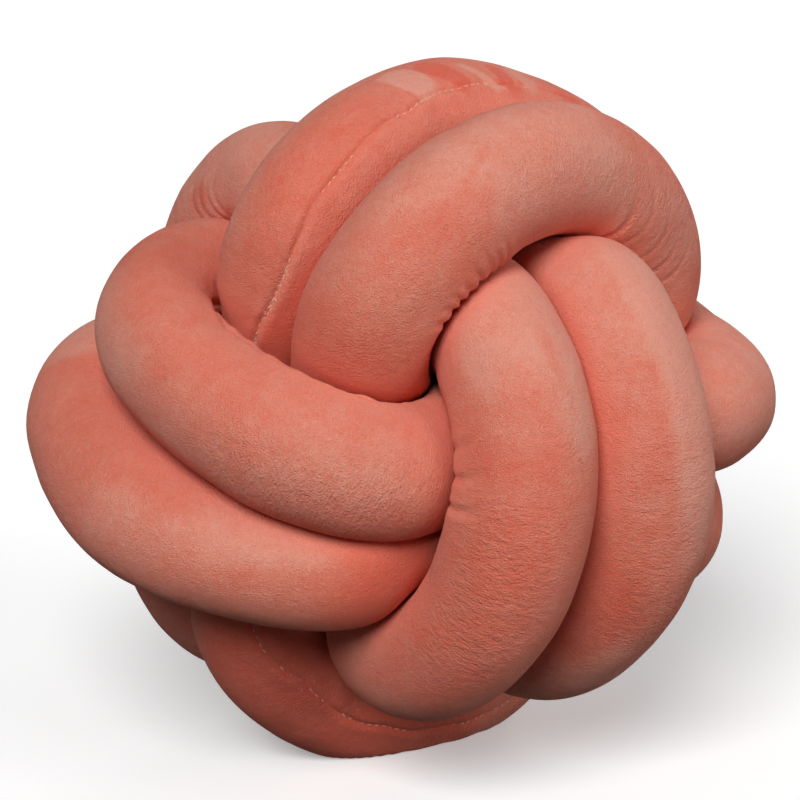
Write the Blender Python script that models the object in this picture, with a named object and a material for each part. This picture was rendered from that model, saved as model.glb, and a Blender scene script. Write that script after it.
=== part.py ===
"""Knot cushion: one long stuffed cloth tube, wound twice round in each of three directions.

The three windings lock each other: the first passes over the third, the second over the
first and the third over the second. Both ends are tucked in under a crossing.
Metres, +Z up. The ball stands on a small flat spot, with its front towards -Y.
"""

import math
from collections import namedtuple

import bmesh
import bpy
import numpy as np
from mathutils import Matrix, Vector

MM = 0.001

# The ball: distances from its centre to the middle of the tube.
OVER_RADIUS = 0.116
UNDER_RADIUS = 0.056
BETWEEN_RADIUS = 0.101
CORNER_RADIUS = 0.098

# Half the distance between the two turns of a winding.
OVER_LANE = 0.0275
UNDER_LANE = 0.021
BETWEEN_LANE = 0.025

# The tube, free of its neighbours, and how far it may swell where they squeeze it.
TUBE_RADIUS = 0.026
MOST_SWELL = 1.04
PRESS_GAP = 0.0014
PRESS_SHARPNESS = 14
SWELL_ROUNDS = 4
FOLD_LIMIT = 0.8
END_RADIUS = 0.35
END_LENGTH = 0.030

# A pass counts as a neighbour from this many radii along the tube, and once it lies this
# far in front of a point. However hard it is pressed, the tube keeps the least reach.
NEIGHBOUR_RADII = 2.2
NEIGHBOUR_AHEAD = 0.001
LEAST_REACH = 0.004
OPEN_REACH = 1.0
SLIGHT_BEND = 1.0

# How the ball stands: the front corner faces the viewer, then it is rolled and leant back.
ROLL_DEGREES = -16.4
TURN_DEGREES = -1.1
LEAN_DEGREES = -27.0
FLAT_DEPTH = 0.009

SECTIONS = 290
SIDES = 18
FINE_STEPS = 4
STEPS_BETWEEN_POINTS = 24

CLOTH_COLOUR = (0.78, 0.26, 0.20, 1.0)
CLOTH_ROUGHNESS = 0.85

FACES = {
    "+X": Vector((1, 0, 0)), "-X": Vector((-1, 0, 0)),
    "+Y": Vector((0, 1, 0)), "-Y": Vector((0, -1, 0)),
    "+Z": Vector((0, 0, 1)), "-Z": Vector((0, 0, -1)),
}
ACROSS = {"first": FACES["+Y"], "second": FACES["+Z"], "third": FACES["+X"]}
PASSES_OVER = {"first": "Z", "second": "X", "third": "Y"}

# The corner of the ball where the tube leaves a winding for the next one.
LEAVES_AT = {"first": Vector((-1, -1, -1)), "second": Vector((-1, -1, 1))}

# One row for each face of the ball that the tube passes, in order along the tube.
# lane: which side of the winding's middle it runs on. out, aside: how far this pass lies
# further out and to the side than an even ball's, in mm; mid_out and mid_aside say the
# same half-way to the next pass.
Pass = namedtuple("Pass", "winding face lane out aside mid_out mid_aside")
PASSES = [
    Pass("first", "-X", 1, 0, 5, -3, 3),
    Pass("first", "+Z", 1, 3, 8, -5, 20),
    Pass("first", "+X", 1, -6, 4, -4, -7),
    Pass("first", "-Z", 1, 3, 2, 7, 8),
    Pass("first", "-X", -1, 1, 0, 5, 11),
    Pass("first", "+Z", -1, -5, 4, 4, 23),
    Pass("first", "+X", -1, 6, -2, -1, -7),
    Pass("first", "-Z", -1, -3, -3, 10, -6),
    Pass("second", "-Y", -1, -2, -4, 11, 4),
    Pass("second", "+X", -1, 10, -2, -8, 1),
    Pass("second", "+Y", -1, -17, 0, -2, -1),
    Pass("second", "-X", -1, -1, -3, 3, 1),
    Pass("second", "-Y", 1, -1, 0, -12, 2),
    Pass("second", "+X", 1, -1, -4, 2, -8),
    Pass("second", "+Y", 1, -1, -5, 5, 6),
    Pass("second", "-X", 1, -6, -2, 12, -4),
    Pass("third", "+Z", -1, -4, -9, 4, 10),
    Pass("third", "+Y", -1, 0, 3, -8, 1),
    Pass("third", "-Z", -1, -3, -10, 1, 7),
    Pass("third", "-Y", -1, 2, -3, -6, -3),
    Pass("third", "+Z", 1, -4, -12, -9, 1),
    Pass("third", "+Y", 1, -2, 7, -8, 9),
    Pass("third", "-Z", 1, -9, -4, -1, 10),
    Pass("third", "-Y", 1, -2, -1, -7, -7),
    Pass("third", "+Z", 2.2, -8, -7, 0, 0),
]


def clear_scene():
    for obj in list(bpy.data.objects):
        bpy.data.objects.remove(obj, do_unlink=True)


def cloth_material():
    material = bpy.data.materials.new("coral_velour")
    material.use_nodes = True
    shader = material.node_tree.nodes["Principled BSDF"]
    shader.inputs["Base Color"].default_value = CLOTH_COLOUR
    shader.inputs["Roughness"].default_value = CLOTH_ROUGHNESS
    shader.inputs["Metallic"].default_value = 0.0
    return material


def standing():
    """Rotation that stands the ball up: its +X +Y +Z corner is the front."""
    front = Vector((1, 1, 1)).normalized()
    up = (FACES["+Z"] - front * front.z).normalized()
    right = up.cross(front)
    facing = Matrix((right, -front, up))
    roll = Matrix.Rotation(math.radians(-ROLL_DEGREES), 3, "Y")
    turn = Matrix.Rotation(math.radians(TURN_DEGREES), 3, "Z")
    lean = Matrix.Rotation(math.radians(LEAN_DEGREES), 3, "X")
    return lean @ turn @ roll @ facing


def pass_point(here):
    """Middle of the tube where it passes the middle of a face."""
    is_over = here.face[1] == PASSES_OVER[here.winding]
    radius = OVER_RADIUS if is_over else UNDER_RADIUS
    lane = OVER_LANE if is_over else UNDER_LANE
    out = FACES[here.face] * (radius + here.out * MM)
    return out + ACROSS[here.winding] * (here.lane * lane + here.aside * MM)


def half_way_point(here, ahead):
    """Middle of the tube half-way to the next pass, round an edge or a corner of the ball."""
    if here.winding == ahead.winding:
        outward = (FACES[here.face] + FACES[ahead.face]).normalized()
        radius = BETWEEN_RADIUS
        lane = BETWEEN_LANE * (here.lane + ahead.lane) / 2
    else:
        outward = LEAVES_AT[here.winding].normalized()
        radius = CORNER_RADIUS
        lane = 0
    out = outward * (radius + here.mid_out * MM)
    return out + ACROSS[here.winding] * (lane + here.mid_aside * MM)


def route_points():
    points = []
    for here, ahead in zip(PASSES, PASSES[1:]):
        points.append(pass_point(here))
        points.append(half_way_point(here, ahead))
    points.append(pass_point(PASSES[-1]))
    turned = standing()
    return np.array([turned @ point for point in points])


def smooth_line(points):
    """Natural cubic spline through the points, as a dense line."""
    steps = np.linalg.norm(np.diff(points, axis=0), axis=1)
    count = len(points)
    system = np.eye(count)
    rise = np.zeros((count, 3))
    slopes = np.diff(points, axis=0) / steps[:, None]
    for k in range(1, count - 1):
        system[k, k - 1] = steps[k - 1]
        system[k, k] = 2 * (steps[k - 1] + steps[k])
        system[k, k + 1] = steps[k]
        rise[k] = 6 * (slopes[k] - slopes[k - 1])
    bend = np.linalg.solve(system, rise)
    line = []
    for k in range(count - 1):
        for share in np.linspace(0, 1, STEPS_BETWEEN_POINTS, endpoint=False):
            rest = 1 - share
            pull = (rest ** 3 - rest) * bend[k] + (share ** 3 - share) * bend[k + 1]
            line.append(rest * points[k] + share * points[k + 1] + pull * steps[k] ** 2 / 6)
    line.append(points[-1])
    return np.array(line)


def even_line(line, count):
    """The same line, read at even steps of its length."""
    length = np.concatenate(([0], np.cumsum(np.linalg.norm(np.diff(line, axis=0), axis=1))))
    even = np.linspace(0, length[-1], count)
    middles = np.stack([np.interp(even, length, line[:, axis]) for axis in range(3)], axis=1)
    return middles, even


def plain_tube(middles):
    """Round tube along the line, as a mesh with welded caps."""
    curve = bpy.data.curves.new("tube_route", "CURVE")
    curve.dimensions = "3D"
    curve.bevel_depth = TUBE_RADIUS
    curve.bevel_resolution = SIDES // 2 - 2
    curve.use_fill_caps = True
    spline = curve.splines.new("POLY")
    spline.points.add(len(middles) - 1)
    for point, middle in zip(spline.points, middles):
        point.co = (*middle, 1.0)
    route = bpy.data.objects.new("tube_route", curve)
    bpy.context.scene.collection.objects.link(route)
    bpy.context.view_layer.update()
    evaluated = route.evaluated_get(bpy.context.evaluated_depsgraph_get())
    mesh = bpy.data.meshes.new_from_object(evaluated)
    bpy.data.objects.remove(route, do_unlink=True)
    bpy.data.curves.remove(curve)
    return mesh


def tangents_of(middles):
    ahead = np.gradient(middles, axis=0)
    return ahead / np.linalg.norm(ahead, axis=1)[:, None]


def sections_of(points, middles, tangents):
    """For each point of the plain tube, the section that it belongs to."""
    owners = []
    for point in points:
        offsets = point - middles
        along = np.abs(np.einsum("ij,ij->i", offsets, tangents))
        off_circle = np.abs(np.linalg.norm(offsets, axis=1) - TUBE_RADIUS)
        owners.append(int(np.argmin(along + off_circle)))
    return np.array(owners)


def room_around(owners, directions, middles, even, line, line_even):
    """How far each point may reach before it meets another pass of the tube.

    Two passes that press on each other share a face half-way between their middles.
    """
    own_stretch = NEIGHBOUR_RADII * TUBE_RADIUS
    room = np.full(len(owners), OPEN_REACH)
    for index, (owner, direction) in enumerate(zip(owners, directions)):
        across = line - middles[owner]
        apart = np.linalg.norm(across, axis=1)
        towards = across @ direction
        elsewhere = np.abs(line_even - even[owner]) > own_stretch
        facing = elsewhere & (towards > NEIGHBOUR_AHEAD)
        if facing.any():
            half = (apart[facing] ** 2 - PRESS_GAP * apart[facing]) / 2
            room[index] = max(LEAST_REACH, (half / towards[facing]).min())
    return room


def fold_room(owners, directions, middles, even):
    """Keeps the inside of a bend from folding through itself."""
    step = even[1] - even[0]
    bends = np.zeros_like(middles)
    bends[1:-1] = (middles[2:] - 2 * middles[1:-1] + middles[:-2]) / step ** 2
    inward = np.einsum("ij,ij->i", bends[owners], directions)
    return np.where(inward > SLIGHT_BEND, FOLD_LIMIT / np.maximum(inward, SLIGHT_BEND), OPEN_REACH)


def end_taper(even):
    """The cloth is gathered shut at both ends."""
    from_end = np.minimum(even, even[-1] - even)
    share = np.clip(from_end / END_LENGTH, 0, 1)
    return END_RADIUS + (1 - END_RADIUS) * np.sqrt(1 - (1 - share) ** 2)


def filled_reach(owners, room, taper):
    """The tube's reach at each point: pressed in by its neighbours and swollen elsewhere.

    A section keeps the filling that it was stuffed with, as far as the cloth lets it swell.
    """
    count = len(taper)
    radius = TUBE_RADIUS * taper
    points_in = np.bincount(owners, minlength=count)
    for _ in range(SWELL_ROUNDS):
        free = radius[owners]
        reach = (free ** -PRESS_SHARPNESS + room ** -PRESS_SHARPNESS) ** (-1 / PRESS_SHARPNESS)
        area = np.bincount(owners, reach ** 2, minlength=count) / points_in
        swell = np.sqrt((TUBE_RADIUS * taper) ** 2 / area)
        radius = np.minimum(radius * swell, TUBE_RADIUS * taper * MOST_SWELL)
    return reach


def knotted_tube():
    line = smooth_line(route_points())
    middles, even = even_line(line, SECTIONS)
    fine_line, fine_even = even_line(line, SECTIONS * FINE_STEPS)
    tangents = tangents_of(middles)
    mesh = plain_tube(middles)

    bm = bmesh.new()
    bm.from_mesh(mesh)
    bmesh.ops.remove_doubles(bm, verts=bm.verts, dist=0.0001)
    bm.verts.ensure_lookup_table()
    points = np.array([vert.co for vert in bm.verts])
    owners = sections_of(points, middles, tangents)
    offsets = points - middles[owners]
    offsets -= tangents[owners] * np.einsum("ij,ij->i", offsets, tangents[owners])[:, None]
    directions = offsets / np.linalg.norm(offsets, axis=1)[:, None]

    room = room_around(owners, directions, middles, even, fine_line, fine_even)
    room = np.minimum(room, fold_room(owners, directions, middles, even))
    reach = filled_reach(owners, room, end_taper(even))
    shaped = middles[owners] + directions * reach[:, None]

    floor = shaped[:, 2].min() + FLAT_DEPTH
    shaped[:, 2] = np.maximum(shaped[:, 2], floor)
    low = shaped.min(axis=0)
    high = shaped.max(axis=0)
    shaped -= ((low[0] + high[0]) / 2, (low[1] + high[1]) / 2, low[2])

    for vert, point in zip(bm.verts, shaped):
        vert.co = point
    bmesh.ops.recalc_face_normals(bm, faces=bm.faces)
    bm.to_mesh(mesh)
    bm.free()
    mesh.shade_smooth()
    mesh.materials.clear()
    mesh.materials.append(cloth_material())
    return bpy.data.objects.new("knotted_tube", mesh)


def main():
    clear_scene()
    cushion = bpy.data.collections.new("knot_cushion")
    bpy.context.scene.collection.children.link(cushion)
    cushion.objects.link(knotted_tube())


main()
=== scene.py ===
"""Knot cushion: one long stuffed velour tube, wound and tucked into a ball, dressed for a picture.

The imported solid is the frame. The cloth made here stands in its place: the same wound tube,
finer, with its gathers, its sewn seam with the stitches, and its brushed pile.
Metres, +Z up, the front of the ball towards -Y.
"""

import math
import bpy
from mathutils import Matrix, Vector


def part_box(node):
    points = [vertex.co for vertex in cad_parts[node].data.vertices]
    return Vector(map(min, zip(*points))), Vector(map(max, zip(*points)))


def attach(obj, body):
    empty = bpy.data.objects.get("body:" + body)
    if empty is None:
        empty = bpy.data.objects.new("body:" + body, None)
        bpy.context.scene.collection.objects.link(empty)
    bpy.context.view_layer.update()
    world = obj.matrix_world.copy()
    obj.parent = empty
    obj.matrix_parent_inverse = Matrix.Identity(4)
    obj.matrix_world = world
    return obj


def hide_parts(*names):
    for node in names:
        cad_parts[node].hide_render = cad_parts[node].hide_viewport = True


bl_info = {
    "name": "Knot Cushion",
    "version": (1, 0, 0),
    "blender": (4, 5, 0),
    "location": "3D View > Sidebar > Knot Cushion",
    "description": "Winds a stuffed velour tube into a knot cushion and sets its studio",
    "category": "Object",
}

from collections import namedtuple

import bpy
import numpy as np
from bpy.props import FloatProperty, FloatVectorProperty, IntProperty, PointerProperty
from bpy.types import Operator, Panel, PropertyGroup
from mathutils import Matrix, Vector

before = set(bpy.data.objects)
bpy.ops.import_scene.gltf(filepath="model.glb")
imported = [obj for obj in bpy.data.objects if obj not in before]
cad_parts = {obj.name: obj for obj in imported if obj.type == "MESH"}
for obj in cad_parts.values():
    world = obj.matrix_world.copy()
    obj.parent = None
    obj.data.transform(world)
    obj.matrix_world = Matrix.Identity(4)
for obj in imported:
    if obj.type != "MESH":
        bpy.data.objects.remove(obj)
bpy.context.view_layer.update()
TUBE_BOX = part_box("knotted_tube")

MM = 0.001

# The wound tube, as in the solid: distances from the ball's centre to the middle of the tube.
OVER_RADIUS = 0.116
UNDER_RADIUS = 0.056
BETWEEN_RADIUS = 0.101
CORNER_RADIUS = 0.098
OVER_LANE = 0.0275
UNDER_LANE = 0.021
BETWEEN_LANE = 0.025
ROLL_DEGREES = -16.4
TURN_DEGREES = -1.1
LEAN_DEGREES = -27.0
FLAT_DEPTH = 0.009
STEPS_BETWEEN_POINTS = 240
NEIGHBOUR_POINTS = 1200

# How passes of the tube press on each other.
MOST_SWELL = 1.04
PRESS_SHARPNESS = 14
SWELL_ROUNDS = 4
FOLD_LIMIT = 0.8
OWN_STRETCH_RADII = 2.2
NEIGHBOUR_RADII = 2.4
NEIGHBOUR_AHEAD = 0.001
LEAST_REACH = 0.004
OPEN_REACH = 1.0
SLIGHT_BEND = 1.0
END_RADIUS = 0.35
END_LENGTH = 0.030

FACES = {
    "+X": Vector((1, 0, 0)), "-X": Vector((-1, 0, 0)),
    "+Y": Vector((0, 1, 0)), "-Y": Vector((0, -1, 0)),
    "+Z": Vector((0, 0, 1)), "-Z": Vector((0, 0, -1)),
}
ACROSS = {"first": FACES["+Y"], "second": FACES["+Z"], "third": FACES["+X"]}
PASSES_OVER = {"first": "Z", "second": "X", "third": "Y"}
LEAVES_AT = {"first": Vector((-1, -1, -1)), "second": Vector((-1, -1, 1))}

# One row for each face of the ball that the tube passes, in order along the tube; out, aside,
# mid_out and mid_aside are in mm, further out and to the side than an even ball's.
Pass = namedtuple("Pass", "winding face lane out aside mid_out mid_aside")
PASSES = [
    Pass("first", "-X", 1, 0, 5, -3, 3),
    Pass("first", "+Z", 1, 3, 8, -5, 20),
    Pass("first", "+X", 1, -6, 4, -4, -7),
    Pass("first", "-Z", 1, 3, 2, 7, 8),
    Pass("first", "-X", -1, 1, 0, 5, 11),
    Pass("first", "+Z", -1, -5, 4, 4, 23),
    Pass("first", "+X", -1, 6, -2, -1, -7),
    Pass("first", "-Z", -1, -3, -3, 10, -6),
    Pass("second", "-Y", -1, -2, -4, 11, 4),
    Pass("second", "+X", -1, 10, -2, -8, 1),
    Pass("second", "+Y", -1, -17, 0, -2, -1),
    Pass("second", "-X", -1, -1, -3, 3, 1),
    Pass("second", "-Y", 1, -1, 0, -12, 2),
    Pass("second", "+X", 1, -1, -4, 2, -8),
    Pass("second", "+Y", 1, -1, -5, 5, 6),
    Pass("second", "-X", 1, -6, -2, 12, -4),
    Pass("third", "+Z", -1, -4, -9, 4, 10),
    Pass("third", "+Y", -1, 0, 3, -8, 1),
    Pass("third", "-Z", -1, -3, -10, 1, 7),
    Pass("third", "-Y", -1, 2, -3, -6, -3),
    Pass("third", "+Z", 1, -4, -12, -9, 1),
    Pass("third", "+Y", 1, -2, 7, -8, 9),
    Pass("third", "-Z", 1, -9, -4, -1, 10),
    Pass("third", "-Y", 1, -2, -1, -7, -7),
    Pass("third", "+Z", 2.2, -8, -7, 0, 0),
]
# Each piece of the dressed tube ends where a crossing hides it, at these rows of PASSES.
WINDING_ROWS = {"first_winding": (0, 8), "second_winding": (8, 16), "third_winding": (16, 24)}

# Tables along the tube. A place counts the rows of PASSES, and degrees turn from the side of
# the tube that faces out of the ball, the way a screw turns that drives along the tube.

# Where the long seam lies, how high its gathers stand in mm, and how far the pile parts over it.
SeamTurn = namedtuple("SeamTurn", "place degrees gathers parted")
SEAM = [
    SeamTurn(0.0, -150, 0.3, 0.3),
    SeamTurn(1.7, -150, 0.3, 0.3),
    SeamTurn(2.4, -26, 0.2, 0.2),
    SeamTurn(2.7, -77, 0.2, 0.2),
    SeamTurn(4.2, -55, 0.2, 0.2),
    SeamTurn(4.8, -32, 0.15, 0.1),
    SeamTurn(5.0, -42, 0.2, 0.2),
    SeamTurn(5.4, -43, 0.35, 0.7),
    SeamTurn(5.6, -57, 0.4, 1.0),
    SeamTurn(5.9, -64, 0.4, 0.5),
    SeamTurn(6.3, -75, 0.3, 0.2),
    SeamTurn(8.2, -150, 0.3, 0.3),
    SeamTurn(12.6, -150, 0.3, 0.3),
    SeamTurn(13.05, -98, 0.3, 0.5),
    SeamTurn(13.25, -88, 0.35, 0.8),
    SeamTurn(13.45, -90, 0.35, 0.8),
    SeamTurn(13.9, -140, 0.3, 0.3),
    SeamTurn(24.0, -140, 0.3, 0.3),
]

# Groups of creases that run round the tube. reach is how far round each one runs, in degrees;
# pitch, width, depth and slant are in mm, slant being how far a crease strays along the tube.
Creases = namedtuple("Creases", "place degrees reach count pitch width depth slant")
CREASES = [
    Creases(0.66, -86, 34, 4, 11.0, 1.4, 0.9, 6),
    Creases(0.82, -98, 22, 1, 0.0, 2.0, 1.1, 2),
    Creases(1.31, -96, 24, 8, 5.6, 1.5, 2.2, 1),
    Creases(5.54, -20, 24, 1, 0.0, 1.5, 0.4, 0),
    Creases(12.66, -48, 30, 4, 5.0, 1.3, 0.3, 4),
    Creases(14.45, -92, 24, 2, 6.0, 1.6, 0.8, 2),
    Creases(20.84, 86, 26, 3, 12.0, 2.1, 1.9, -2),
    Creases(23.33, 70, 26, 4, 6.0, 2.0, 0.8, 6),
]

# Places where the pile has been brushed another way, and places of painted shade: the deep marks at
# 2.75, 9.62 and 13.18 darken the tube's undersides where shade falls. length, width and edge are in
# mm:
# half the mark's length along the tube, half its width, and how softly it ends. turn twists the mark
# on the cloth, in degrees. shade is 1 for pale pile laid flat and -1 for deep pile on end and darkest
# painted shade.
NapMark = namedtuple("NapMark", "place degrees length width turn edge shade")
NAP_AND_SHADE_MARKS = [
    NapMark(0.75, -60, 40, 13, 0, 14, 0.5),
    NapMark(1.08, -20, 30, 26, 0, 16, 0.55),
    NapMark(1.26, 20, 14, 14, 0, 12, 0.5),
    NapMark(1.40, -40, 10, 40, 0, 14, 0.3),
    NapMark(1.70, -10, 28, 60, 0, 18, -0.7),
    NapMark(1.22, -13, 8, 1.4, -28, 1.2, -0.6),
    # Painted shade on the underside of the ball.
    NapMark(2.75, -70, 75, 36, 0, 14, -0.95),
    NapMark(5.12, -17, 6.0, 11, -9, 1.0, 1.0),
    NapMark(5.045, -22, 5.0, 10, -25, 1.0, -0.9),
    NapMark(4.988, -25, 2.6, 10, -33, 0.9, 1.0),
    NapMark(4.935, -24, 3.4, 9, -15, 1.2, -0.9),
    NapMark(4.88, -20, 3.6, 9, -15, 1.5, 0.5),
    NapMark(4.79, -25, 6.0, 10, -10, 3.0, -0.5),
    NapMark(5.33, -20, 34, 15, 0, 12, -0.3),
    NapMark(5.30, 30, 44, 8, 0, 8, 0.25),
    NapMark(5.30, -62, 50, 6, 0, 6, 0.2),
    NapMark(5.60, -84, 26, 9, 0, 5.0, -0.9),
    NapMark(5.86, -50, 22, 34, 0, 14, -0.6),
    NapMark(8.64, -70, 12, 14, 0, 8, 0.8),
    NapMark(8.95, -64, 24, 18, 0, 14, -0.25),
    NapMark(9.14, -5, 26, 20, 0, 14, 0.4),
    NapMark(9.30, -55, 22, 12, 0, 12, 0.7),
    # Painted shade at the shaded end of this turn, under the turn above it.
    NapMark(9.62, -10, 30, 60, 0, 20, -1.0),
    NapMark(12.72, -64, 22, 20, 0, 14, -0.4),
    NapMark(12.90, 0, 22, 12, 0, 12, 0.5),
    # Painted shade along the underside of this turn.
    NapMark(13.18, 64, 60, 10, 0, 8, -0.9),
    NapMark(13.10, 10, 26, 14, 0, 14, 0.3),
    NapMark(13.38, -10, 24, 14, 0, 14, 0.4),
    NapMark(13.62, -30, 10, 16, 0, 10, 0.3),
    NapMark(14.52, -50, 60, 34, 0, 14, 0.5),
    NapMark(16.72, -10, 48, 15, 0, 8, 1.0),
    NapMark(16.47, 43, 26, 34, 0, 16, 0.5),
    NapMark(17.10, 66, 24, 14, 0, 12, -0.6),
    NapMark(17.26, 16, 26, 20, 0, 14, 0.5),
    NapMark(20.58, 0, 42, 26, 0, 14, 1.0),
    NapMark(20.76, 24, 14, 16, 0, 12, -0.5),
    NapMark(20.86, 34, 30, 22, 0, 18, -0.3),
    NapMark(20.67, -14, 10, 2.0, -12, 3.0, -0.5),
    NapMark(21.12, 50, 36, 24, 0, 16, -0.35),
    NapMark(21.60, 40, 16, 44, 0, 14, -0.6),
    NapMark(23.42, 40, 34, 26, 0, 12, 0.7),
    NapMark(23.30, 70, 8, 6, 0, 5.0, -1.0),
]
# Places where the pile is combed into short lines round the tube; shade is how strongly.
COMBED_MARKS = [
    NapMark(0.85, -30, 60, 20, 0, 16, 0.4),
    NapMark(5.48, 25, 34, 14, 0, 12, 0.5),
    NapMark(8.97, -30, 40, 18, 0, 12, 0.5),
    NapMark(13.38, 24, 36, 18, 0, 14, 1.0),
    NapMark(17.00, 20, 50, 18, 0, 14, 0.4),
    NapMark(21.06, 30, 34, 20, 0, 14, 0.7),
]

# Columns of cloth beside the seam, by their distance from it in mm, on both sides.
BESIDE_SEAM = (0.0, 0.4, 0.9, 1.6, 2.5, 3.6, 5.0)
# How far the seam strays from its line, in degrees, its groove and the lips beside it, how far
# its gathers reach, and how wide and how evenly the pile parts over it.
SEAM_STRAY = 1.3
SEAM_HALF_WIDTH = 0.0011
SEAM_LIP = 0.45
SEAM_LIP_AT = 0.0032
SEAM_LIP_WIDTH = 0.0018
GATHER_REACH = 0.0060
PARTING_WIDTH = 0.0017
PARTING_BASE = 0.4
PARTING_SPREAD = 0.8

# How the cloth swells beside a crease, how far a crease strays as a share of its group's pitch
# and reach, and how shallow the weakest one is.
CREASE_SWELL = 0.45
CREASE_SWELL_WIDTH = 2.2
CREASE_STRAY = 0.25
CREASE_TURN_STRAY = 0.15
CREASE_LEAST_DEPTH = 0.55
CREASE_SEED = 5

# How the gathers settle.
GATHER_ROUNDS = 160
LEAST_PLACE = 0.15
FIRST_WAVES = 0.00015
STIFF_ALONG = 0.12
STIFF_AROUND = 0.1
GATHERS_FADE = 0.12
FILLING_EASES = 0.985
RIDGE_RINGS = 5
RIDGE_RADIUS = 0.009

# Smooth random fields on the cloth: how many rings and columns each one's waves reach over.
Noise = namedtuple("Noise", "rings columns seed")
STRAY_NOISE = Noise(5.0, 0.01, 51)
WAVE_NOISE = Noise(3.0, 4.0, 11)
RIPPLE_NOISE = Noise(2.0, 0.01, 21)
RAGGED_NOISE = Noise(4.0, 2.5, 31)
PARTING_NOISE = Noise(2.0, 0.01, 41)
LUMP_NOISE = Noise(14.0, 7.0, 3)
DIMPLE_NOISE = Noise(4.0, 2.2, 4)

# How far from a neighbour the painted bounce light in the creases reaches, how ragged the nap and
# shade marks' edges are in mm, and how blunt their ends: 2 is an oval.
CREASE_LIGHT_REACH = 0.006
NAP_RAGGED = 0.7
NAP_SQUARENESS = 4

# Stitches: the least parting of the pile that shows one, how far it strays as a share of the
# pitch, its half length and slant as shares of its length, and how deep it sits in thread radii.
LEAST_PARTED = 0.08
STITCH_SEED = 7
STITCH_STRAY = 0.15
STITCH_HALF = (0.35, 0.55)
STITCH_SLANT = 0.25
STITCH_SINK = (-1.2, 0.4)
STITCH_SIDES = 6
# A stitch from end to end; width and lift count thread radii.
StitchRing = namedtuple("StitchRing", "share width lift")
STITCH_RINGS = [
    StitchRing(0.0, 0.35, 0.0),
    StitchRing(0.2, 1.0, 0.7),
    StitchRing(0.8, 1.0, 0.7),
    StitchRing(1.0, 0.35, 0.0),
]

# Studio: where the three wide soft lights hang, seen from the cushion, the floor's size and how
# far it lies under the cushion, and the heights between which the surround brightens.
KEY_DIRECTION = (-0.16, -0.77, 0.62)
FILL_DIRECTION = (0.81, -0.47, 0.34)
BACK_DIRECTION = (0.45, 0.88, 0.16)
LAMP_DISTANCE = 2
FLOOR_SIZE = 40
FLOOR_DROP = 0.0002
SURROUND_DIM = -0.2
SURROUND_BRIGHT = 0.8
SENSOR_WIDTH = 36

# ---------------------------------------------------------------------------
# Settings
# ---------------------------------------------------------------------------

def length_setting(name, description, metres, least, most):
    """A length in metres."""
    return FloatProperty(
        name=name, description=description, default=metres, min=least, max=most, unit="LENGTH")


def colour_setting(name, description, colour):
    """A colour in linear light."""
    return FloatVectorProperty(
        name=name, description=description, default=colour, size=3, min=0, max=1,
        subtype="COLOR")


class TubeSettings(PropertyGroup):
    radius: length_setting(
        "Tube radius", "Radius of the stuffed tube where nothing presses it",
        0.026, least=0.01, most=0.06)
    press_gap: length_setting(
        "Gap", "Gap between passes of the tube that press on each other",
        0.0004, least=0.0, most=0.005)
    sections: IntProperty(
        name="Sections", description="Rings of cloth along each winding",
        default=1150, min=100, max=1150)
    sides: IntProperty(
        name="Sides", description="Faces of cloth around the tube",
        default=80, min=16, max=96)
    fullness: FloatProperty(
        name="Fullness", description="Length of the cut cloth against the tube's middle line",
        default=0.62, min=0.4, max=1.3, subtype="FACTOR")
    lumps: length_setting(
        "Lumps", "Height of the soft lumps of the filling",
        0.0006, least=0.0, most=0.005)
    dimples: length_setting(
        "Dimples", "Height of the small dimples of the cloth",
        0.00012, least=0.0, most=0.002)


class SeamSettings(PropertyGroup):
    depth: length_setting(
        "Depth", "How deep the seam draws the cloth in",
        0.0010, least=0.0, most=0.005)
    gathers: FloatProperty(
        name="Gathers", description="Height of the small gathers beside the seam, as a share",
        default=1.0, min=0.0, max=4.0, subtype="FACTOR")
    stitch_pitch: length_setting(
        "Stitch pitch", "Distance from one stitch to the next",
        0.0036, least=0.001, most=0.01)
    stitch_length: length_setting(
        "Stitch length", "Length of thread that shows in each stitch",
        0.0022, least=0.0005, most=0.01)
    thread_radius: length_setting(
        "Thread radius", "Radius of the sewing thread",
        0.0003, least=0.0001, most=0.002)


class VelourSettings(PropertyGroup):
    pile_colour: colour_setting(
        "Pile", "Colour of the velour where its pile stands as it was woven", (0.76, 0.212, 0.14))
    brushed_colour: colour_setting(
        "Brushed pile", "Paler colour where the pile is laid flat", (0.79, 0.33, 0.245))
    # Deep pile colour, also darkened to serve as painted shade on the undersides.
    deep_pile_and_shade_colour: colour_setting(
        "Deep pile", "Stronger colour where the pile is seen end on", (0.74, 0.13, 0.078))
    # Painted bounce light: a bright, saturated colour laid where turns of the tube meet, in place of
    # light bounced between them.
    crease_bounce_light_colour: colour_setting(
        "Tucked pile", "Bright colour of pile squeezed where turns meet", (1.0, 0.27, 0.18))
    backing_colour: colour_setting(
        "Backing", "Pale cloth that shows where the pile parts over the seam", (0.93, 0.62, 0.50))
    thread_colour: colour_setting(
        "Thread", "Colour of the sewing thread", (0.88, 0.42, 0.31))
    sheen: FloatProperty(
        name="Sheen", description="Strength of the pale sheen at glancing angles",
        default=0.13, min=0, max=1, subtype="FACTOR")


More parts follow.
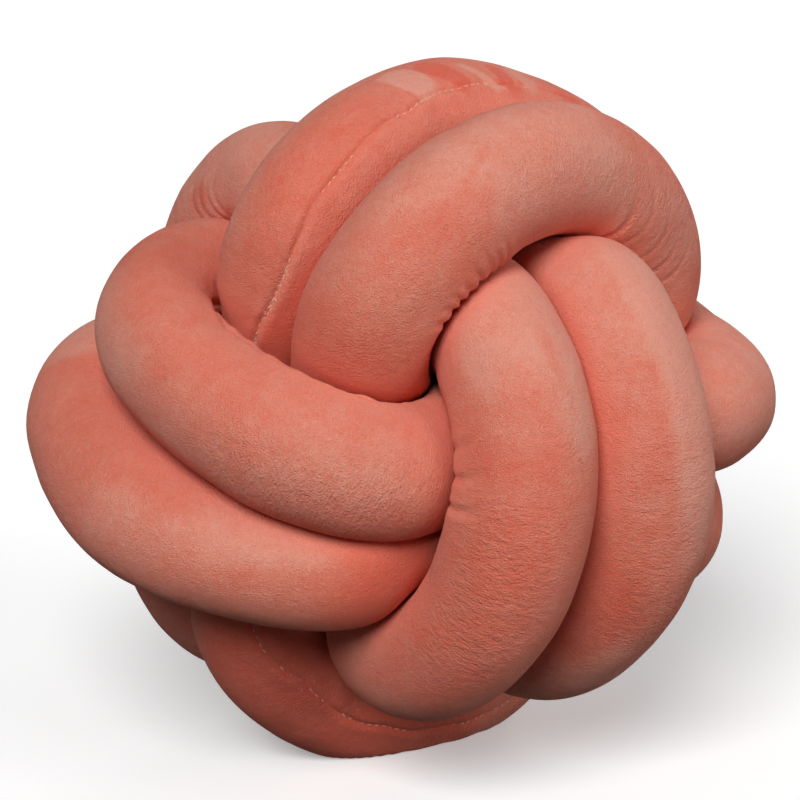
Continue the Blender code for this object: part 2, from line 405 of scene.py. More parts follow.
class StudioSettings(PropertyGroup):
    distance: length_setting(
        "Camera distance", "From the ball's centre to the camera",
        1.30, least=0.5, most=5)
    elevation: FloatProperty(
        name="Camera elevation", description="Height of the view over level",
        default=math.radians(15), min=-1.5, max=1.5, subtype="ANGLE", unit="ROTATION")
    lens: FloatProperty(
        name="Lens", description="Focal length on a 36 mm sensor",
        default=146.25, min=20, max=400)
    aim_right: length_setting(
        "Aim right", "How far right of the ball's centre the camera looks",
        -0.0056, least=-0.1, most=0.1)
    aim_up: length_setting(
        "Aim up", "How far above the ball's centre the camera looks",
        0.0024, least=-0.1, most=0.1)
    key_strength: FloatProperty(
        name="Key light", description="Strength of the wide soft light above the camera",
        default=2.55, min=0, max=20)
    fill_strength: FloatProperty(
        name="Fill light", description="Strength of the low soft light on the right",
        default=0.85, min=0, max=20)
    back_strength: FloatProperty(
        name="Back light", description="Strength of the low soft light behind the cushion",
        default=0.7, min=0, max=20)
    light_spread: FloatProperty(
        name="Light spread", description="How wide each soft light looks from the cushion",
        default=math.radians(28), min=0.0, max=3.1, subtype="ANGLE", unit="ROTATION")
    sky: FloatProperty(
        name="Light from above", description="Brightness of the surround above the cushion",
        default=0.22, min=0, max=3)
    ground: FloatProperty(
        name="Light from below", description="Brightness of the surround below the cushion",
        default=0.05, min=0, max=3)
    floor_glow: FloatProperty(
        name="Floor glow", description="Light of the lit white board that the cushion stands on",
        default=0.28, min=0, max=3)


# ---------------------------------------------------------------------------
# The tube's route
# ---------------------------------------------------------------------------

def standing():
    """Rotation that stands the ball up: its +X +Y +Z corner is the front."""
    front = Vector((1, 1, 1)).normalized()
    up = (FACES["+Z"] - front * front.z).normalized()
    right = up.cross(front)
    facing = Matrix((right, -front, up))
    roll = Matrix.Rotation(math.radians(-ROLL_DEGREES), 3, "Y")
    turn = Matrix.Rotation(math.radians(TURN_DEGREES), 3, "Z")
    lean = Matrix.Rotation(math.radians(LEAN_DEGREES), 3, "X")
    return lean @ turn @ roll @ facing


def pass_point(here):
    """Middle of the tube where it passes the middle of a face."""
    is_over = here.face[1] == PASSES_OVER[here.winding]
    radius = OVER_RADIUS if is_over else UNDER_RADIUS
    lane = OVER_LANE if is_over else UNDER_LANE
    out = FACES[here.face] * (radius + here.out * MM)
    return out + ACROSS[here.winding] * (here.lane * lane + here.aside * MM)


def half_way_point(here, ahead):
    """Middle of the tube half-way to the next pass, round an edge or a corner of the ball."""
    if here.winding == ahead.winding:
        outward = (FACES[here.face] + FACES[ahead.face]).normalized()
        radius = BETWEEN_RADIUS
        lane = BETWEEN_LANE * (here.lane + ahead.lane) / 2
    else:
        outward = LEAVES_AT[here.winding].normalized()
        radius = CORNER_RADIUS
        lane = 0
    out = outward * (radius + here.mid_out * MM)
    return out + ACROSS[here.winding] * (lane + here.mid_aside * MM)


def route_points():
    points = []
    for here, ahead in zip(PASSES, PASSES[1:]):
        points.append(pass_point(here))
        points.append(half_way_point(here, ahead))
    points.append(pass_point(PASSES[-1]))
    turned = standing()
    return np.array([turned @ point for point in points])


def smooth_line(points):
    """Natural cubic spline through the points, as a dense line, with each point's place."""
    steps = np.linalg.norm(np.diff(points, axis=0), axis=1)
    count = len(points)
    system = np.eye(count)
    rise = np.zeros((count, 3))
    slopes = np.diff(points, axis=0) / steps[:, None]
    for k in range(1, count - 1):
        system[k, k - 1] = steps[k - 1]
        system[k, k] = 2 * (steps[k - 1] + steps[k])
        system[k, k + 1] = steps[k]
        rise[k] = 6 * (slopes[k] - slopes[k - 1])
    bend = np.linalg.solve(system, rise)
    line = []
    places = []
    for k in range(count - 1):
        for share in np.linspace(0, 1, STEPS_BETWEEN_POINTS, endpoint=False):
            rest = 1 - share
            pull = (rest ** 3 - rest) * bend[k] + (share ** 3 - share) * bend[k + 1]
            line.append(rest * points[k] + share * points[k + 1] + pull * steps[k] ** 2 / 6)
            places.append((k + share) / 2)
    line.append(points[-1])
    places.append((count - 1) / 2)
    return np.array(line), np.array(places)


def even_line(line, places, count):
    """The same line, read at even steps of its length."""
    length = np.concatenate(([0], np.cumsum(np.linalg.norm(np.diff(line, axis=0), axis=1))))
    even = np.linspace(0, length[-1], count)
    middles = np.stack([np.interp(even, length, line[:, axis]) for axis in range(3)], axis=1)
    return middles, even, np.interp(even, length, places)


def eased(share):
    """The share from 0 to 1, with a soft start and end."""
    return share * share * (3 - 2 * share)


def soft_curve(rows, column, at):
    """Smooth curve through one column of a table with places, without overshoot."""
    places = np.array([row.place for row in rows], float)
    values = np.array([getattr(row, column) for row in rows], float)
    index = np.clip(np.searchsorted(places, at, side="right") - 1, 0, len(places) - 2)
    share = np.clip((at - places[index]) / (places[index + 1] - places[index]), 0, 1)
    ahead = eased(share)
    return values[index] * (1 - ahead) + values[index + 1] * ahead


# ---------------------------------------------------------------------------
# The cloth
# ---------------------------------------------------------------------------

def unit(vectors):
    return vectors / np.linalg.norm(vectors, axis=-1, keepdims=True)


def degrees_from(degrees, middle):
    """How many degrees round the tube from the middle, the short way."""
    return (degrees - middle + 180) % 360 - 180


def soft_noise(rows, columns, noise):
    """Smooth random heights of unit spread on the cloth's grid, wrapped round the tube."""
    field = np.random.default_rng(noise.seed).standard_normal((rows, columns))
    along = np.fft.fftfreq(rows)[:, None] * noise.rings
    around = np.fft.fftfreq(columns)[None, :] * noise.columns
    kept = np.exp(-2 * math.pi ** 2 * (along ** 2 + around ** 2))
    field = np.fft.ifft2(np.fft.fft2(field) * kept).real
    return field / field.std()


def column_angles(sides, radius):
    """Angles of the cloth's columns from the seam, close together beside it."""
    beside = np.array(BESIDE_SEAM) * MM / radius
    close = np.concatenate((beside, -beside[:0:-1]))
    spare = np.linspace(beside[-1], 2 * math.pi - beside[-1], sides - len(close) + 2)[1:-1]
    return np.concatenate((beside, spare, 2 * math.pi - beside[:0:-1]))


class Cloth:
    """The tube's cloth as a grid: a row for each ring, a column for each side, from the seam."""

    def __init__(self, tube):
        line, places = smooth_line(route_points())
        self.rings = tube.sections * len(WINDING_ROWS) + 1
        self.sides = tube.sides
        self.radius = tube.radius
        self.middles, self.even, self.places = even_line(line, places, self.rings)
        self.line, self.line_even, _ = even_line(line, places, NEIGHBOUR_POINTS)
        self.tangents = unit(np.gradient(self.middles, axis=0))
        across = np.einsum("ij,ij->i", self.middles, self.tangents)[:, None]
        self.outward = unit(self.middles - self.tangents * across)
        self.aside = np.cross(self.tangents, self.outward)
        self.from_seam = column_angles(self.sides, self.radius)
        self.widths = (np.roll(self.from_seam, -1) - np.roll(self.from_seam, 1)) % (2 * math.pi) / 2
        stray = SEAM_STRAY * soft_noise(self.rings, 1, STRAY_NOISE)
        turn = np.radians(soft_curve(SEAM, "degrees", self.places)[:, None] + stray)
        self.angles = turn + self.from_seam[None, :]
        self.directions = (
            np.cos(self.angles)[:, :, None] * self.outward[:, None, :]
            + np.sin(self.angles)[:, :, None] * self.aside[:, None, :])

    def find_room(self, gap):
        """How far the cloth may reach before it meets another pass, half-way between middles."""
        own_stretch = OWN_STRETCH_RADII * self.radius
        near = NEIGHBOUR_RADII * self.radius
        room = np.full((self.rings, self.sides), OPEN_REACH)
        for ring, middle in enumerate(self.middles):
            across = self.line - middle
            apart = np.linalg.norm(across, axis=1)
            elsewhere = (np.abs(self.line_even - self.even[ring]) > own_stretch) & (apart < near)
            if not elsewhere.any():
                continue
            towards = self.directions[ring] @ across[elsewhere].T
            half = (apart[elsewhere] ** 2 - gap * apart[elsewhere]) / 2
            reach = np.where(towards > NEIGHBOUR_AHEAD,
                             half / np.maximum(towards, NEIGHBOUR_AHEAD), OPEN_REACH)
            room[ring] = np.maximum(LEAST_REACH, reach.min(axis=1))
        self.neighbour_room = room

    def find_bends(self):
        """How sharply the tube bends towards each side of it."""
        step = self.even[1] - self.even[0]
        bends = np.zeros_like(self.middles)
        bends[1:-1] = (self.middles[2:] - 2 * self.middles[1:-1] + self.middles[:-2]) / step ** 2
        self.inward = np.einsum("ik,ijk->ij", bends, self.directions)

    def fill(self):
        """Reach of the filled tube: pressed in by its neighbours and swollen elsewhere."""
        fold = np.where(self.inward > SLIGHT_BEND,
                        FOLD_LIMIT / np.maximum(self.inward, SLIGHT_BEND), OPEN_REACH)
        self.room = np.minimum(self.neighbour_room, fold)
        from_end = np.minimum(self.even, self.even[-1] - self.even)
        share = np.clip(from_end / END_LENGTH, 0, 1)
        taper = END_RADIUS + (1 - END_RADIUS) * np.sqrt(1 - (1 - share) ** 2)
        free = (self.radius * taper)[:, None]
        radius = free
        for _ in range(SWELL_ROUNDS):
            reach = (radius ** -PRESS_SHARPNESS + self.room ** -PRESS_SHARPNESS) ** (
                -1 / PRESS_SHARPNESS)
            area = (reach ** 2 @ self.widths)[:, None] / (2 * math.pi)
            radius = np.minimum(radius * free / np.sqrt(area), free * MOST_SWELL)
        self.reach = reach

    def points(self):
        return self.middles[:, None, :] + self.directions * self.reach[:, :, None]

    def settled_points(self):
        """The cloth in the frame's place: standing on its flat spot, at the solid's middle."""
        shaped = self.points()
        floor = shaped[:, :, 2].min() + FLAT_DEPTH
        shaped[:, :, 2] = np.maximum(shaped[:, :, 2], floor)
        low = shaped.min(axis=(0, 1))
        high = shaped.max(axis=(0, 1))
        middle = (TUBE_BOX[0] + TUBE_BOX[1]) / 2
        shift = np.array((middle.x - (low[0] + high[0]) / 2, middle.y - (low[1] + high[1]) / 2,
                          TUBE_BOX[0].z - low[2]))
        self.centre = Vector(shift)
        return shaped + shift


def gather_cloth(cloth, fullness):
    """Heights of the gathers where a bend leaves the cloth longer than its place.

    Each ring is pushed off the next until the cloth between them is as long as it was cut; the
    filling pushes back, and the cloth's stiffness keeps the folds soft.
    """
    step = cloth.even[1] - cloth.even[0]
    place = 1 - cloth.inward * cloth.reach
    place = np.maximum((place[1:] + place[:-1]) / 2, LEAST_PLACE) * step
    cut = fullness * step
    heights = FIRST_WAVES * soft_noise(cloth.rings, cloth.sides, WAVE_NOISE)
    for _ in range(GATHER_ROUNDS):
        rise = np.diff(heights, axis=0)
        length = np.sqrt(place ** 2 + rise ** 2)
        push = 0.5 * np.maximum(cut - length, 0) * rise / length
        heights[1:] += push
        heights[:-1] -= push
        bend_along = heights[2:] + heights[:-2] - 2 * heights[1:-1]
        bend_around = np.roll(heights, 1, axis=1) + np.roll(heights, -1, axis=1) - 2 * heights
        heights[1:-1] += STIFF_ALONG * bend_along
        heights += STIFF_AROUND * bend_around
        heights *= FILLING_EASES
    tight = np.clip((fullness + GATHERS_FADE - places_of(place / step)) / GATHERS_FADE, 0, 1)
    return round_ridges(heights * tight, step)


def places_of(shares):
    """Values between the rings, read on the rings."""
    padded = np.concatenate((shares[:1], shares, shares[-1:]))
    return (padded[1:] + padded[:-1]) / 2


def round_ridges(heights, step):
    """Folds pressed out by the filling: broad round ridges with narrow valleys between them."""
    rounded = heights.copy()
    for away in range(1, RIDGE_RINGS + 1):
        drop = (away * step) ** 2 / (2 * RIDGE_RADIUS)
        rounded[away:] = np.maximum(rounded[away:], heights[:-away] - drop)
        rounded[:-away] = np.maximum(rounded[:-away], heights[away:] - drop)
    return rounded


def grid_normals(points):
    """Outward normals of the cloth's grid."""
    along = np.gradient(points, axis=0)
    around = np.roll(points, -1, axis=1) - np.roll(points, 1, axis=1)
    return unit(np.cross(around, along))


def from_seam_line(cloth):
    """Distance of each column from the seam, over the cloth."""
    return np.minimum(cloth.from_seam, 2 * math.pi - cloth.from_seam) * cloth.radius


def sew_cloth(cloth, seam):
    """Heights along the seam: it draws the cloth in, with a soft lip and gathers beside it."""
    apart = from_seam_line(cloth)
    groove = np.exp(-(apart / SEAM_HALF_WIDTH) ** 2)
    lip = np.exp(-((apart - SEAM_LIP_AT) / SEAM_LIP_WIDTH) ** 2)
    profile = seam.depth * (SEAM_LIP * lip - groove)
    gathers = soft_curve(SEAM, "gathers", cloth.places) * MM * seam.gathers
    ripple = soft_noise(cloth.rings, 2, RIPPLE_NOISE)
    ripple = np.where(cloth.from_seam < math.pi, ripple[:, :1], ripple[:, 1:])
    fade = np.exp(-(apart / GATHER_REACH) ** 2) * (1 - groove / 2)
    return profile[None, :] + gathers[:, None] * ripple * fade[None, :]


def crease_cloth(cloth):
    """Heights of the creases that run round the tube."""
    luck = np.random.default_rng(CREASE_SEED)
    heights = np.zeros((cloth.rings, cloth.sides))
    degrees = np.degrees(cloth.angles)
    for group in CREASES:
        start = np.interp(group.place, cloth.places, cloth.even)
        for number in range(group.count):
            along = start + (number - (group.count - 1) / 2) * group.pitch * MM
            along += luck.uniform(-CREASE_STRAY, CREASE_STRAY) * group.pitch * MM
            turn = luck.uniform(-CREASE_TURN_STRAY, CREASE_TURN_STRAY) * group.reach
            depth = group.depth * MM * luck.uniform(CREASE_LEAST_DEPTH, 1.0)
            round_by = degrees_from(degrees, group.degrees + turn) / group.reach
            line = along + group.slant * MM * round_by ** 2
            off = (cloth.even[:, None] - line) / (group.width * MM)
            fold = CREASE_SWELL * np.exp(-(off / CREASE_SWELL_WIDTH) ** 2) - np.exp(-off ** 2)
            heights += depth * fold * np.exp(-round_by ** 4)
    return heights


def marks_on_cloth(cloth, table):
    """The shades of a table of marks, laid on the cloth one over another."""
    shades = np.zeros((cloth.rings, cloth.sides))
    degrees = np.degrees(cloth.angles)
    ragged = soft_noise(cloth.rings, cloth.sides, RAGGED_NOISE)
    for mark in table:
        ahead = cloth.even[:, None] - np.interp(mark.place, cloth.places, cloth.even)
        beside = np.radians(degrees_from(degrees, mark.degrees)) * cloth.radius
        turn = math.radians(mark.turn)
        along = (ahead * math.cos(turn) + beside * math.sin(turn)) / (mark.length * MM)
        across = (beside * math.cos(turn) - ahead * math.sin(turn)) / (mark.width * MM)
        off_middle = (along ** NAP_SQUARENESS + across ** NAP_SQUARENESS) ** (1 / NAP_SQUARENESS)
        inside = (1 - off_middle) * min(mark.length, mark.width)
        share = np.clip((inside + NAP_RAGGED * ragged) / mark.edge + 0.5, 0, 1)
        shades += mark.shade * eased(share)
    return np.clip(shades, -1, 1)


def crease_bounce_light_of_cloth(cloth):
    """Mask of the painted bounce light: 1 where the cloth meets another pass of the tube, 0 where it
    is well clear.
    """
    clear = np.maximum(cloth.neighbour_room - cloth.reach, 0)
    return np.exp(-clear / CREASE_LIGHT_REACH)


def parting_of_cloth(cloth):
    """1 where the pile parts over the seam and lets the backing show."""
    near = np.exp(-(from_seam_line(cloth) / PARTING_WIDTH) ** 2)
    uneven = PARTING_BASE + PARTING_SPREAD * soft_noise(cloth.rings, 1, PARTING_NOISE)
    return np.clip(soft_curve(SEAM, "parted", cloth.places)[:, None] * uneven, 0, 1) * near


def make_cloth(tube, seam):
    cloth = Cloth(tube)
    cloth.find_room(tube.press_gap)
    cloth.find_bends()
    cloth.fill()
    clear = np.maximum(cloth.neighbour_room - cloth.reach, 0)
    heights = sew_cloth(cloth, seam) + crease_cloth(cloth)
    heights += gather_cloth(cloth, tube.fullness)
    heights += tube.lumps * soft_noise(cloth.rings, cloth.sides, LUMP_NOISE)
    heights += tube.dimples * soft_noise(cloth.rings, cloth.sides, DIMPLE_NOISE)
    cloth.reach += np.minimum(heights, clear)
    cloth.looks = {
        "nap_and_shade": marks_on_cloth(cloth, NAP_AND_SHADE_MARKS),
        "combed": marks_on_cloth(cloth, COMBED_MARKS),
        "crease_bounce_light": crease_bounce_light_of_cloth(cloth),
        "parting": parting_of_cloth(cloth),
    }
    return cloth


def winding_mesh(name, points, normals, cloth, rings):
    """Closed mesh of one winding, smooth, with the cloth's own map in metres."""
    first, last = rings
    count = last - first + 1
    sides = cloth.sides
    verts = points[first:last + 1].reshape(-1, 3)
    ends = points[[first, last]].mean(axis=1)
    verts = np.concatenate((verts, ends))
    ring = np.arange(count - 1)[:, None] * sides
    side = np.arange(sides)[None, :]
    after = (side + 1) % sides
    quads = np.stack((ring + side, ring + after, ring + sides + after, ring + sides + side), axis=-1)
    quads = quads.reshape(-1, 4).tolist()
    low_cap = [(count * sides, (s + 1) % sides, s) for s in range(sides)]
    top = (count - 1) * sides
    high_cap = [(count * sides + 1, top + s, top + (s + 1) % sides) for s in range(sides)]
    mesh = bpy.data.meshes.new(name)
    mesh.from_pydata(verts.tolist(), [], quads + low_cap + high_cap)
    mesh.shade_smooth()
    add_cloth_map(mesh, cloth, first, count)
    for look, values in cloth.looks.items():
        layer = mesh.attributes.new(look, "FLOAT", "POINT")
        on_rings = values[first:last + 1].ravel()
        layer.data.foreach_set("value", np.concatenate((on_rings, (0, 0))).astype(np.float32))
    faces_normals = normals[first:last + 1].reshape(-1, 3)
    end_normals = cloth.tangents[[first, last]] * ((-1,), (1,))
    mesh.normals_split_custom_set_from_vertices(np.concatenate((faces_normals, end_normals)).tolist())
    return mesh


def add_cloth_map(mesh, cloth, first, count):
    """UV map named cloth: metres along the tube and around it from the seam."""
    sides = cloth.sides
    around = np.append(cloth.from_seam, 2 * math.pi) * cloth.radius
    ring = np.arange(count - 1)[:, None] + np.zeros((1, sides), int)
    side = np.arange(sides)[None, :] + np.zeros((count - 1, 1), int)
    u = cloth.even[first + np.stack((ring, ring, ring + 1, ring + 1), axis=-1)]
    v = around[np.stack((side, side + 1, side + 1, side), axis=-1)]
    corners = np.stack((u, v), axis=-1).reshape(-1, 2)
    caps = np.zeros((2 * 3 * sides, 2))
    layer = mesh.uv_layers.new(name="cloth")
    layer.uv.foreach_set("vector", np.concatenate((corners, caps)).astype(np.float32).ravel())


# ---------------------------------------------------------------------------
# Materials
# ---------------------------------------------------------------------------

class Nodes:
    """Short calls for adding and joining a material's nodes."""

    def __init__(self, tree):
        self.tree = tree

    def add(self, kind, values=None, **settings):
        node = self.tree.nodes.new(kind)
        for key, value in settings.items():
            setattr(node, key, value)
        for key, value in (values or {}).items():
            if isinstance(value, bpy.types.NodeSocket):
                self.tree.links.new(value, node.inputs[key])
            else:
                node.inputs[key].default_value = value
        return node

    def math(self, operation, first, second, clamp=False):
        node = self.add("ShaderNodeMath", {0: first, 1: second}, operation=operation)
        node.use_clamp = clamp
        return node.outputs["Value"]

    def weighted_sum(self, *terms):
        total = 0.0
        for value, weight in terms:
            total = self.add("ShaderNodeMath", {0: value, 1: weight, 2: total},
                             operation="MULTIPLY_ADD").outputs["Value"]
        return total

    def mix(self, share, first, second):
        node = self.add("ShaderNodeMix", data_type="RGBA")
        for key, value in (("Factor", share), ("A", first), ("B", second)):
            socket = next(item for item in node.inputs if item.name == key and item.enabled)
            if isinstance(value, bpy.types.NodeSocket):
                self.tree.links.new(value, socket)
            else:
                socket.default_value = value
        return next(item for item in node.outputs if item.enabled)

    def mottle(self, vector, scale, detail=2.0, roughness=0.5):
        node = self.add("ShaderNodeGroup", node_tree=mottle_group())
        self.tree.links.new(vector, node.inputs["Vector"])
        for key, value in (("Scale", scale), ("Detail", detail), ("Roughness", roughness)):
            node.inputs[key].default_value = value
        return node.outputs["Mottle"]

    def look(self, name):
        return self.add("ShaderNodeAttribute", attribute_name=name).outputs["Fac"]


def mottle_group():
    """Node group: uneven patches about zero, from -0.5 to 0.5, for cloth, thread and board."""
    name = "uneven_mottle"
    if name in bpy.data.node_groups:
        return bpy.data.node_groups[name]
    group = bpy.data.node_groups.new(name, "ShaderNodeTree")
    group.interface.new_socket("Vector", in_out="INPUT", socket_type="NodeSocketVector")
    for key in ("Scale", "Detail", "Roughness"):
        group.interface.new_socket(key, in_out="INPUT", socket_type="NodeSocketFloat")
    group.interface.new_socket("Mottle", in_out="OUTPUT", socket_type="NodeSocketFloat")
    nodes = Nodes(group)
    given = nodes.add("NodeGroupInput").outputs
    noise = nodes.add("ShaderNodeTexNoise", {
        key: given[key] for key in ("Vector", "Scale", "Detail", "Roughness")})
    centred = nodes.math("SUBTRACT", noise.outputs["Fac"], 0.5)
    nodes.add("NodeGroupOutput", {"Mottle": centred})
    return group


def new_material(name, roughness, specular):
    material = bpy.data.materials.new(name)
    material.use_nodes = True
    shader = material.node_tree.nodes["Principled BSDF"]
    shader.inputs["Roughness"].default_value = roughness
    shader.inputs["Specular IOR Level"].default_value = specular
    return material, shader, Nodes(material.node_tree)


def velour_material(velour):
    """Short pile: paler laid flat, deeper on end and darker with painted shade on the undersides,
    brighter with painted bounce light where turns meet, parted over the seam.
    """
    material, shader, nodes = new_material("coral_velour", 0.95, 0.12)
    shader.inputs["Sheen Weight"].default_value = velour.sheen
    shader.inputs["Sheen Roughness"].default_value = 0.4
    shader.inputs["Sheen Tint"].default_value = (0.95, 0.78, 0.72, 1)

    cloth_map = nodes.add("ShaderNodeUVMap", uv_map="cloth").outputs["UV"]
    fine_comb = nodes.add("ShaderNodeMapping", {"Vector": cloth_map, "Scale": (1500, 420, 1)})
    wide_comb = nodes.add("ShaderNodeMapping", {"Vector": cloth_map, "Scale": (560, 170, 1)})
    combed = nodes.mottle(fine_comb.outputs["Vector"], 1.0, 3.0)
    rippled = nodes.mottle(wide_comb.outputs["Vector"], 1.0, 2.0)
    place = nodes.add("ShaderNodeTexCoord").outputs["Object"]
    clouds = nodes.mottle(place, 24.0, 3.0, 0.55)
    patches = nodes.mottle(place, 95.0, 3.0, 0.6)
    dabs = nodes.mottle(place, 300.0, 2.0, 0.5)
    grains = nodes.mottle(place, 1100.0, 2.0, 0.7)
    specks = nodes.mottle(place, 2100.0, 1.0, 0.6)

    # Nap shades with random patches; the marks' attribute also carries painted shade.
    nap_and_shade = nodes.weighted_sum(
        (nodes.look("nap_and_shade"), 1.0), (clouds, 1.1), (patches, 0.9), (dabs, 0.7), (combed, 0.6),
        (specks, 2.4))
    pale = nodes.math("MULTIPLY", nap_and_shade, 1.0, clamp=True)
    # Share of deep pile colour, which is also painted shade where the shade marks lie.
    deep_and_shade = nodes.math("MULTIPLY", nap_and_shade, -1.0, clamp=True)
    colour = nodes.mix(pale, (*velour.pile_colour, 1), (*velour.brushed_colour, 1))
    colour = nodes.mix(deep_and_shade, colour, (*velour.deep_pile_and_shade_colour, 1))
    # Painted bounce light: brighter colour where the cloth meets another pass of the tube.
    crease_light = nodes.math("MULTIPLY", nodes.look("crease_bounce_light"), 0.7)
    colour = nodes.mix(crease_light, colour, (*velour.crease_bounce_light_colour, 1))

    flecks = nodes.weighted_sum((nodes.look("parting"), 1.1), (grains, 4.5))
    flecks = nodes.math("SUBTRACT", flecks, 0.85, clamp=True)
    colour = nodes.mix(flecks, colour, (*velour.backing_colour, 1))
    nodes.tree.links.new(colour, shader.inputs["Base Color"])

    lines = nodes.weighted_sum((combed, 0.8), (rippled, 1.2))
    strength = nodes.math("ADD", nodes.look("combed"), 0.3)
    lines = nodes.math("MULTIPLY", lines, strength)
    height = nodes.weighted_sum((lines, 1.0), (grains, 0.7), (specks, 0.9), (dabs, 0.6))
    bump = nodes.add("ShaderNodeBump", {"Strength": 0.9, "Distance": 0.0008, "Height": height})
    nodes.tree.links.new(bump.outputs["Normal"], shader.inputs["Normal"])
    return material


def thread_material(velour):
    """Spun thread: fine slanting plies that vary a little in colour."""
    material, shader, nodes = new_material("seam_thread", 0.6, 0.3)
    place = nodes.add("ShaderNodeTexCoord").outputs["Object"]
    plies = nodes.mottle(place, 2400.0, 2.0)
    shade = nodes.math("ADD", nodes.math("MULTIPLY", plies, 1.4), 0.5, clamp=True)
    worn = tuple(part * 0.8 for part in velour.thread_colour)
    colour = nodes.mix(shade, (*worn, 1), (*velour.thread_colour, 1))
    nodes.tree.links.new(colour, shader.inputs["Base Color"])
    bump = nodes.add("ShaderNodeBump", {"Strength": 0.4, "Distance": 0.0001, "Height": plies})
    nodes.tree.links.new(bump.outputs["Normal"], shader.inputs["Normal"])
    return material


def floor_material(glow):
    """White matt board, faintly lit from within, with a barely visible mottle."""
    material, shader, nodes = new_material("pale_floor", 0.9, 0.1)
    place = nodes.add("ShaderNodeTexCoord").outputs["Object"]
    mottle = nodes.mottle(place, 6.0, 4.0)
    shade = nodes.math("ADD", mottle, 0.5, clamp=True)
    colour = nodes.mix(shade, (0.91, 0.91, 0.91, 1), (0.94, 0.94, 0.94, 1))
    nodes.tree.links.new(colour, shader.inputs["Base Color"])
    shader.inputs["Emission Color"].default_value = (1, 1, 1, 1)
    shader.inputs["Emission Strength"].default_value = glow
    return material


# ---------------------------------------------------------------------------
# Operators
# ---------------------------------------------------------------------------

def show(obj):
    bpy.context.scene.collection.objects.link(obj)
    return obj


class KNOT_OT_wind_tube(Operator):
    """Wind the stuffed velour tube into the knot, one piece for each winding"""

    bl_idname = "knot_cushion.wind_tube"
    bl_label = "Wind the tube"

    def execute(self, context):
        scene = context.scene
        cloth = make_cloth(scene.knot_tube, scene.knot_seam)
        points = cloth.settled_points()
        normals = grid_normals(points)
        velour = velour_material(scene.knot_velour)
        for name, (start, end) in WINDING_ROWS.items():
            rings = (int(np.argmin(np.abs(cloth.places - start))),
                     int(np.argmin(np.abs(cloth.places - end))))
            mesh = winding_mesh(name, points, normals, cloth, rings)
            mesh.materials.append(velour)
            piece = show(bpy.data.objects.new(name, mesh))
            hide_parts("knotted_tube")
            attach(piece, "root")
        scene["knot_centre"] = list(cloth.centre)
        return {"FINISHED"}


class KNOT_OT_sew_seam(Operator):
    """Sew the thread of the long seam on the wound tube"""

    bl_idname = "knot_cushion.sew_seam"
    bl_label = "Sew the seam"

    def execute(self, context):
        scene = context.scene
        seam = scene.knot_seam
        verts = []
        faces = []
        luck = np.random.default_rng(STITCH_SEED)
        for name in WINDING_ROWS:
            winding = bpy.data.objects[name].data
            if not winding.vertices:
                raise RuntimeError("wind the tube before its seam is sewn")
            for start, end, outward in stitch_places(winding, scene.knot_tube.sides, seam, luck):
                add_stitch(verts, faces, start, end, outward, seam.thread_radius)
        mesh = bpy.data.meshes.new("seam_stitches")
        mesh.from_pydata(verts, [], faces)
        mesh.shade_smooth()
        mesh.materials.append(thread_material(scene.knot_velour))
        stitches = show(bpy.data.objects.new("seam_stitches", mesh))
        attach(stitches, "root")
        return {"FINISHED"}


def stitch_places(winding, sides, seam, luck):
    """Start, end and outward direction of each stitch that the pile leaves in sight."""
    count = (len(winding.vertices) - 2) // sides
    seam_points = [winding.vertices[ring * sides].co.copy() for ring in range(count)]
    outwards = [winding.vertices[ring * sides].normal.copy() for ring in range(count)]
    run = np.cumsum([0] + [(b - a).length for a, b in zip(seam_points, seam_points[1:])])
    points = np.array(seam_points)
    normals = np.array(outwards)
    looks = winding.attributes["parting"].data
    parted = [looks[ring * sides].value for ring in range(count)]
    for middle in np.arange(seam.stitch_pitch, run[-1] - seam.stitch_pitch, seam.stitch_pitch):
        middle += luck.uniform(-STITCH_STRAY, STITCH_STRAY) * seam.stitch_pitch
        half = seam.stitch_length * luck.uniform(*STITCH_HALF)
        ends = [read_line(run, points, at) for at in (middle - half, middle + half)]
        if np.interp(middle, run, parted) < LEAST_PARTED:
            continue
        outward = unit(read_line(run, normals, middle))
        slant = luck.uniform(-STITCH_SLANT, STITCH_SLANT)
        sideways = np.cross(unit(ends[1] - ends[0]), outward) * slant * half
        sink = seam.thread_radius * luck.uniform(*STITCH_SINK)
        yield ends[0] - sideways + outward * sink, ends[1] + sideways + outward * sink, outward


def read_line(run, values, at):
    """The values along the seam, read at one distance from its start."""
    return np.array([np.interp(at, run, values[:, axis]) for axis in range(3)])


def add_stitch(verts, faces, start, end, outward, radius):
    """A short arched bar of thread with round ends."""
    along = unit(end - start)
    across = np.cross(outward, along)
    first = len(verts)
    for share, width, lift in STITCH_RINGS:
        middle = start + (end - start) * share + outward * radius * lift
        for side in range(STITCH_SIDES):
            turn = 2 * math.pi * side / STITCH_SIDES
            around = across * math.cos(turn) + outward * math.sin(turn)
            verts.append(tuple(middle + around * radius * width))
    for ring in range(len(STITCH_RINGS) - 1):
        for side in range(STITCH_SIDES):
            low = first + ring * STITCH_SIDES
            after = (side + 1) % STITCH_SIDES
            faces.append((low + side, low + after, low + STITCH_SIDES + after,
                          low + STITCH_SIDES + side))
    faces.append(tuple(first + side for side in reversed(range(STITCH_SIDES))))
    last = first + (len(STITCH_RINGS) - 1) * STITCH_SIDES
    faces.append(tuple(last + side for side in range(STITCH_SIDES)))


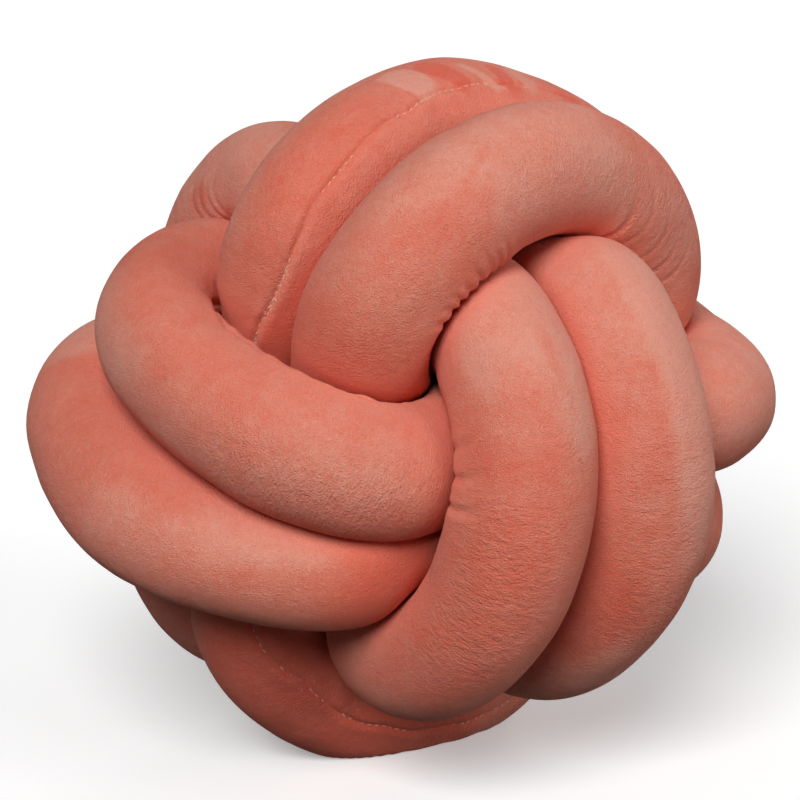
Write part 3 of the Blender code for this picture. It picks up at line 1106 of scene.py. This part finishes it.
class KNOT_OT_set_studio(Operator):
    """Set the pale floor, the soft light, the surround and the camera"""

    bl_idname = "knot_cushion.set_studio"
    bl_label = "Set the studio"

    def execute(self, context):
        scene = context.scene
        studio = scene.knot_studio
        centre = Vector(scene["knot_centre"])
        lay_floor(studio)
        hang_light("key_light", studio.key_strength, studio.light_spread, KEY_DIRECTION)
        hang_light("fill_light", studio.fill_strength, studio.light_spread, FILL_DIRECTION)
        hang_light("back_light", studio.back_strength, studio.light_spread, BACK_DIRECTION)
        light_surround(studio)
        place_camera(studio, centre)
        scene.view_settings.view_transform = "Standard"
        return {"FINISHED"}


def lay_floor(studio):
    bpy.ops.mesh.primitive_plane_add(size=FLOOR_SIZE, location=(0, 0, -FLOOR_DROP))
    floor = bpy.context.object
    floor.name = "studio_floor"
    floor.data.materials.append(floor_material(studio.floor_glow))
    floor.visible_diffuse = False


def hang_light(name, strength, spread, direction):
    lamp = bpy.data.lights.new(name, "SUN")
    lamp.energy = strength
    lamp.angle = spread
    holder = show(bpy.data.objects.new(name, lamp))
    holder.location = Vector(direction) * LAMP_DISTANCE
    holder.rotation_euler = Vector(direction).to_track_quat("Z", "Y").to_euler()


def light_surround(studio):
    """White surround, bright above and dim below."""
    world = bpy.data.worlds.new("white_surround")
    world.use_nodes = True
    nodes = Nodes(world.node_tree)
    direction = nodes.add("ShaderNodeTexCoord").outputs["Generated"]
    height = nodes.add("ShaderNodeSeparateXYZ", {"Vector": direction}).outputs["Z"]
    share = nodes.add("ShaderNodeMapRange", {
        "Value": height, "From Min": SURROUND_DIM, "From Max": SURROUND_BRIGHT,
        "To Min": studio.ground, "To Max": studio.sky}).outputs["Result"]
    background = world.node_tree.nodes["Background"]
    background.inputs["Color"].default_value = (1, 1, 1, 1)
    world.node_tree.links.new(share, background.inputs["Strength"])
    bpy.context.scene.world = world


def place_camera(studio, centre):
    back = Vector((0, -math.cos(studio.elevation), math.sin(studio.elevation)))
    right = Vector((1, 0, 0))
    up = back.cross(right)
    target = centre + right * studio.aim_right + up * studio.aim_up
    lens = bpy.data.cameras.new("photo_view")
    lens.lens = studio.lens
    lens.sensor_width = SENSOR_WIDTH
    camera = show(bpy.data.objects.new("photo_view", lens))
    camera.location = target + back * studio.distance
    camera.rotation_euler = back.to_track_quat("Z", "Y").to_euler()
    bpy.context.scene.camera = camera


class KNOT_PT_cushion(Panel):
    """Steps that make the knot cushion"""

    bl_label = "Knot Cushion"
    bl_idname = "KNOT_PT_cushion"
    bl_space_type = "VIEW_3D"
    bl_region_type = "UI"
    bl_category = "Knot Cushion"

    def draw(self, context):
        column = self.layout.column()
        for operator in OPERATORS:
            column.operator(operator.bl_idname)


GROUPS = {
    "knot_tube": TubeSettings,
    "knot_seam": SeamSettings,
    "knot_velour": VelourSettings,
    "knot_studio": StudioSettings,
}
OPERATORS = (KNOT_OT_wind_tube, KNOT_OT_sew_seam, KNOT_OT_set_studio)


def register():
    for name, group in GROUPS.items():
        bpy.utils.register_class(group)
        setattr(bpy.types.Scene, name, PointerProperty(type=group))
    for operator in OPERATORS:
        bpy.utils.register_class(operator)
    bpy.utils.register_class(KNOT_PT_cushion)


def unregister():
    bpy.utils.unregister_class(KNOT_PT_cushion)
    for operator in reversed(OPERATORS):
        bpy.utils.unregister_class(operator)
    for name, group in GROUPS.items():
        delattr(bpy.types.Scene, name)
        bpy.utils.unregister_class(group)


def main():
    register()
    bpy.ops.knot_cushion.wind_tube()
    bpy.ops.knot_cushion.sew_seam()
    bpy.ops.knot_cushion.set_studio()


if __name__ == "__main__":
    main()
